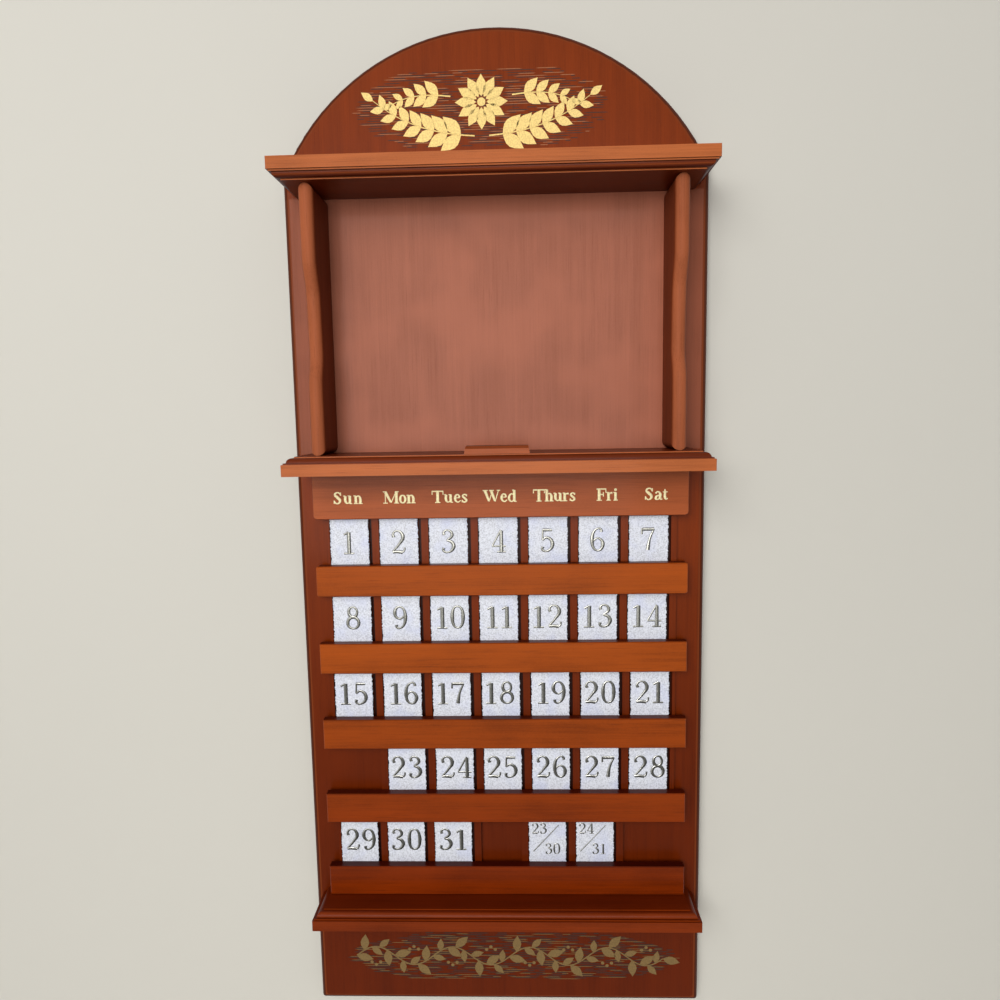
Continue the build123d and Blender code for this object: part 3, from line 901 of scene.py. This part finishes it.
class CALENDAR_OT_gold_print(bpy.types.Operator):
    """Leaf sprays and a rosette on the arch, a leafy vine on the base, hatching behind them"""
    bl_idname = "calendar.gold_print"
    bl_label = "Gold print"

    def execute(self, context):
        printing = context.scene.calendar_print
        thick = printing.thickness
        line_thick = 0.6 * thick
        gold = print_ink("gold_print", printing.gold, 0.35)
        dull = print_ink("dull_gold_print", printing.dull_gold, 0.35)
        copper = print_ink("copper_print", printing.copper, 0.2)
        dark = print_ink("dark_print", printing.dark, 0.0)
        leaf = flat_master(16, thick, leaf_outline)
        dot = flat_master(16, thick, dot_outline)
        line = flat_master(8, line_thick, hatch_outline)
        chance = random.Random(77)
        self.arch(leaf, dot, BOARD_FACE + thick, thick, gold)
        self.base(leaf, dot, BOARD_FACE + thick, thick, dull)
        # Each: lowest row, highest row and pitch, the share of lines laid, and their width.
        for name, material, reach, rows, keep, weight in (
                ("arch_hatch_light", copper, self.arch_reach, (639, 690, 1.6), 0.6, 0.42),
                ("arch_hatch_dark", dark, self.arch_reach, (639.78, 690, 1.6), 0.92, 0.48),
                ("base_hatch_light", dull, self.base_reach, (18.5, 58, 1.5), 0.4, 0.36),
                ("base_hatch_dark", dark, self.base_reach, (19.28, 58, 1.5), 0.95, 0.7)):
            lines = hatching(line, chance, [place * MM for place in rows], reach,
                             BOARD_FACE + line_thick, keep, weight * MM)
            finish_print(lines, name, material)
        remove((leaf, dot, line))
        return {"FINISHED"}

    def arch_reach(self, height):
        """How far the hatching of the arch goes left and right at a height."""
        share = (height - 664 * MM) / (30 * MM)
        half = 92 * MM * math.sqrt(max(0.05, 1 - share * share))
        return -8 * MM - half * 0.98, -8 * MM + half * 0.94

    def base_reach(self, height):
        share = (height - 36.5 * MM) / (24 * MM)
        half = 128 * MM * math.sqrt(max(0.2, 1 - share * share))
        return 2 * MM - half, 2 * MM + half

    def arch(self, leaf, dot, depth, thick, material):
        """A rosette between two pairs of leafy sprays."""
        centre, middle = -8 * MM, 668 * MM
        count, root, length, seed = 12, 3.6 * MM, 14.5 * MM, 5.6 * MM
        petals = []
        for number in range(count):
            angle = math.tau * number / count
            x, height = centre + root * math.cos(angle), middle + root * math.sin(angle)
            petals.append(laid(leaf, x, height, depth, angle, length, length))
        petals.append(laid(dot, centre - seed / 2, middle, depth, 0.0, seed, seed))
        finish_print(petals, "arch_rosette", material)
        rise, spread = 8, math.radians(40)
        for name, side in (("left", -1), ("right", 1)):
            heading = math.radians(180 - rise if side < 0 else rise)
            lower = walk(centre + side * 5 * MM, 646 * MM, heading - side * math.radians(6),
                         [side * turn for turn in (3, 3, 4, 4, 5, 5, 6, 4)], 9.3 * MM)
            upper = walk(centre + side * 21 * MM, 672 * MM, heading,
                         [-side * turn for turn in (2, 4, 6, 8, 10)], 8.2 * MM)
            parts = leafy_stem(leaf, lower, depth, thick, (17.5 * MM, 10 * MM), spread)
            parts += leafy_stem(leaf, upper, depth, thick, (13.5 * MM, 8 * MM), spread)
            finish_print(parts, f"arch_spray_{name}", material)

    def base(self, leaf, dot, depth, thick, material):
        """A vine that waves along the base, with leaves on both sides and berries in its bends."""
        start, end, wave, swing, middle = -118 * MM, 120 * MM, 60 * MM, 7.5 * MM, 37.5 * MM
        count = 40
        points = []
        for number in range(count + 1):
            x = start + (end - start) * number / count
            phase = math.tau * (x - start) / wave
            heading = math.atan(swing * math.tau / wave * math.cos(phase))
            points.append((x, middle + swing * math.sin(phase), heading))
        parts = [stem(points, depth, thick, 0.6 * MM, 0.5 * MM)]
        for number, (x, height, heading) in enumerate(points):
            turn = math.radians(52 if number % 2 else -52)
            size = (13.5 if number % 4 < 2 else 10.5) * MM
            parts.append(laid(leaf, x, height, depth, heading + turn, size, size))
        berry = 2.6 * MM
        for bend in range(round(2 * (end - start) / wave)):
            x = start + wave * (0.25 + 0.5 * bend)
            side = 1 if bend % 2 else -1
            height = middle + side * 5.5 * MM
            for across, up in ((-3.4, 0.0), (0.0, side * 2.2), (3.4, 0.0)):
                parts.append(laid(dot, x + across * MM - berry / 2, height + up * MM, depth, 0.0,
                                  berry, berry))
        finish_print(parts, "base_vine", material)


# ---- finishes of the wooden case ----

class CALENDAR_OT_case_finishes(bpy.types.Operator):
    """Stains and varnish on the wooden case, and plating on its screws"""
    bl_idname = "calendar.case_finishes"
    bl_label = "Case finishes"

    def execute(self, context):
        wood = context.scene.calendar_wood
        board = board_wood(wood)
        # Painted shade in the mouldings of the top and middle shelves.
        moulding_shade = moulding_bands("top_shelf", False) + moulding_bands("mid_shelf", True)
        shelf = case_wood("shelf_wood", wood.shelf, wood.shelf_low, SHELF_SHADE_FADE, "X", 1.7, 1.2,
                          masks=moulding_shade)
        # Painted shade on the tops of the plate stop and the rails.
        stop = case_wood("stop_wood", wood.header, wood.header, SHELF_SHADE_FADE, "X", 2.2, tops=0.22)
        rail = case_wood("rail_wood", wood.rail, wood.rail_low, RAIL_SHADE_FADE, "X", 4.2, 1.4, tops=0.4)
        header = case_wood("header_wood", wood.header, wood.header, RAIL_SHADE_FADE, "X", 6.4, 1.2)
        panel = case_wood("panel_wood", wood.panel, wood.panel, BOARD_SHADE_FADE, "Z", 2.9, 1.2, 0.5,
                          roughness=0.48, coat=0.0)
        strip = case_wood("divider_wood", wood.board, wood.board_low, BOARD_SHADE_FADE, "Z", 8.3)
        finishes = {
            "back_board": board, "plate_stop": stop, "header_strip": header,
            "top_shelf": shelf, "mid_shelf": shelf, "bottom_shelf": shelf,
            "side_panel_left": panel, "side_panel_right": panel, "shelf_screws": screw_metal(),
            **dict.fromkeys(RAILS, rail), **dict.fromkeys(DIVIDERS, strip)}
        for node, material in finishes.items():
            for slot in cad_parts[node].material_slots:
                slot.material = material
        return {"FINISHED"}


# ---- stage ----

ROOM_COLOUR = (208 / 255, 206 / 255, 198 / 255)
ROOM_STRENGTH = 0.52  # brightness of the world where it is seen
LAMP_TARGET = Vector((0, 0, 0.05))
CAMERA_PLACE = (16.807, -550.135, 99.757)  # millimetres
CAMERA_ANGLES = (83.29555, 0.97928, 1.66421)  # degrees round X, Y and Z
CAMERA_LENS = 27.0  # on a sensor 36 wide


def one_sided(name, colour):
    """A pale surface that shows from its front only, so that it never hides the object."""
    finish = Finish(name)
    cloud = finish.grain(0.5, 2.0)
    finish.set(Base_Color=finish.mix(cloud, paint(colour, 0.99), paint(colour, 1.01)),
               Roughness=0.9, Specular_IOR_Level=0.1)
    behind = finish.node("ShaderNodeNewGeometry", {}, {}, "Backfacing")
    clear = finish.node("ShaderNodeBsdfTransparent", {}, {})
    surface = Value(finish, finish.shader.outputs["BSDF"])
    mixed = finish.node("ShaderNodeMixShader", {}, {0: behind, 1: surface, 2: clear})
    finish.feed(finish.tree.nodes["Material Output"].inputs["Surface"], mixed)
    return finish.material


def add_plane(name, size, location, rotation):
    bpy.ops.mesh.primitive_plane_add(size=size, location=location, rotation=rotation)
    plane = bpy.context.object
    plane.name = name
    return plane


def add_lamp(name, location, width, height, power, colour, glossy=False):
    """An area lamp aimed at the calendar; a glossy one also shows in its varnish."""
    bpy.ops.object.light_add(type="AREA", location=location)
    lamp = bpy.context.object
    lamp.name = name
    lamp.data.shape = "RECTANGLE"
    lamp.data.size = width
    lamp.data.size_y = height
    lamp.data.energy = power
    lamp.data.color = colour
    lamp.rotation_euler = (LAMP_TARGET - Vector(location)).to_track_quat("-Z", "Y").to_euler()
    lamp.visible_glossy = glossy


class CALENDAR_OT_stage(bpy.types.Operator):
    """Camera, soft light, pale wall and pale floor"""
    bl_idname = "calendar.stage"
    bl_label = "Stage"

    def execute(self, context):
        wall = add_plane("wall", 8.0, (0, 0.6 * MM, 0), (math.pi / 2, 0, 0))
        wall.visible_shadow = False
        floor = add_plane("floor", 1.2, (0, -0.6, -0.75), (0, 0, 0))
        pale = one_sided("pale_stage", ROOM_COLOUR)
        for plane in (wall, floor):
            plane.visible_glossy = False
            plane.data.materials.append(pale)
        add_lamp("key_lamp", (-0.6, -1.6, 0.72), 1.0, 1.0, 16.0, (1.0, 0.985, 0.96))
        add_lamp("window_lamp", (-0.22, -2.2, 0.24), 1.34, 1.32, 22.3, (1.0, 0.98, 0.97), True)
        add_lamp("back_lamp", (0.7, 2.0, 0.6), 1.0, 1.0, 26.0, (1.0, 0.99, 0.97))
        self.light_world(context.scene)
        self.place_camera(context.scene)
        context.scene.view_settings.view_transform = "Standard"
        return {"FINISHED"}

    def light_world(self, scene):
        """Light that is bright above and dim below, in a room that looks plain and pale."""
        scene.world = bpy.data.worlds.new("soft_room")
        nodes = Nodes(scene.world, "Generated")
        light = nodes.node("ShaderNodeMapRange", {"interpolation_type": "SMOOTHSTEP"},
                           {"Value": nodes.axis("Z"), "From Min": -0.25, "From Max": 0.35,
                            "To Min": 0.05, "To Max": 0.36}, "Result")
        seen, *others = (nodes.node("ShaderNodeLightPath", {}, {}, kind)
                         for kind in ("Is Camera Ray", "Is Glossy Ray", "Is Transmission Ray"))
        for other in others:
            seen = seen.math("MAXIMUM", seen, other)
        background = nodes.tree.nodes["Background"].inputs
        nodes.feed(background["Color"], (0.98, 0.97, 0.95, 1.0))
        nodes.feed(background["Strength"],
                   nodes.node("ShaderNodeMix", {}, {0: seen, 2: light, 3: ROOM_STRENGTH}))

    def place_camera(self, scene):
        """The photograph's view: 750 pixels of focal length in a frame of 1000."""
        bpy.ops.object.camera_add(location=[place * MM for place in CAMERA_PLACE],
                                  rotation=[math.radians(angle) for angle in CAMERA_ANGLES])
        camera = bpy.context.object
        camera.name = "camera"
        camera.data.lens = CAMERA_LENS
        camera.data.clip_start = 0.01
        scene.camera = camera


# ---- panel and registration ----

class CALENDAR_PT_panel(bpy.types.Panel):
    """The calendar's sizes, colours and building steps"""
    bl_idname = "CALENDAR_PT_panel"
    bl_label = "Perpetual calendar"
    bl_space_type = "VIEW_3D"
    bl_region_type = "UI"
    bl_category = "Calendar"

    def draw(self, context):
        for group_name, group in GROUPS.items():
            box = self.layout.box()
            for name in group.__annotations__:
                box.prop(getattr(context.scene, group_name), name)
        for operator in OPERATORS:
            self.layout.operator(operator.bl_idname)


OPERATORS = (CALENDAR_OT_stage, CALENDAR_OT_case_finishes, CALENDAR_OT_date_tiles,
             CALENDAR_OT_weekdays, CALENDAR_OT_gold_print)
GROUPS = {"calendar_wood": CalendarWood, "calendar_tiles": CalendarTiles,
          "calendar_print": CalendarPrint}
CLASSES = (*GROUPS.values(), *OPERATORS, CALENDAR_PT_panel)


def register():
    for cls in CLASSES:
        bpy.utils.register_class(cls)
    for name, group in GROUPS.items():
        setattr(bpy.types.Scene, name, bpy.props.PointerProperty(type=group))


def unregister():
    for name in GROUPS:
        delattr(bpy.types.Scene, name)
    for cls in reversed(CLASSES):
        bpy.utils.unregister_class(cls)


def main():
    register()
    bpy.ops.calendar.stage()
    bpy.ops.calendar.case_finishes()
    bpy.ops.calendar.date_tiles()
    bpy.ops.calendar.weekdays()
    bpy.ops.calendar.gold_print()


if __name__ == "__main__":
    main()
